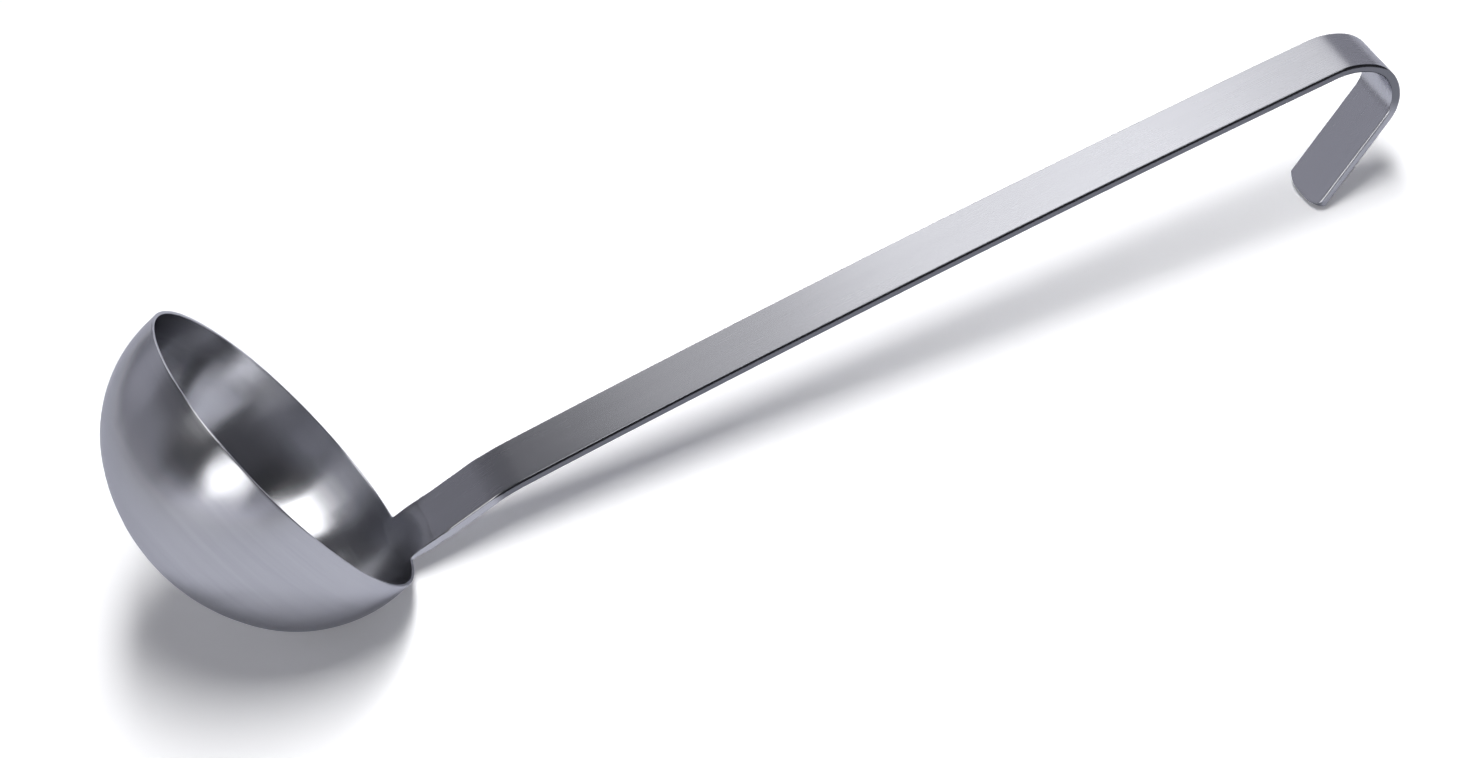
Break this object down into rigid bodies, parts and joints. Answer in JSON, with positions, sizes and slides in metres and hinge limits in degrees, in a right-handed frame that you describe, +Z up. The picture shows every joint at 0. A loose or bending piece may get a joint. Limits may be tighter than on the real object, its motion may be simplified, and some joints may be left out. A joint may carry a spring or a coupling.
{
  "type": "soup ladle",
  "caption": "Stainless steel soup ladle with a deep hemispherical bowl and a long flat-bar handle that bends over into a hook for a rail.",
  "frame": {"origin": "On the surface the ladle lies on, below the middle of its bounding box.", "axes": "+Z up, away from that surface; +X along the handle, from the bowl to the hook; +Y across the handle. The plane Y = 0 is the ladle's plane of symmetry. The ladle lies on the back of its bowl and on the end of its hook."},
  "size_m": [0.3748, 0.1, 0.0953],
  "materials": {
    "bowl_steel": "satin, with faint rings round the bowl",
    "handle_steel": "satin, brushed along the bar, with darker rolled edges that are ground bright near the bowl",
    "weld_steel": "ground and blended"
  },
  "bodies": {
    "root": {"bowl": "bowl_steel", "handle": "handle_steel", "weld_seam": "weld_steel"}
  },
  "joints": []
}
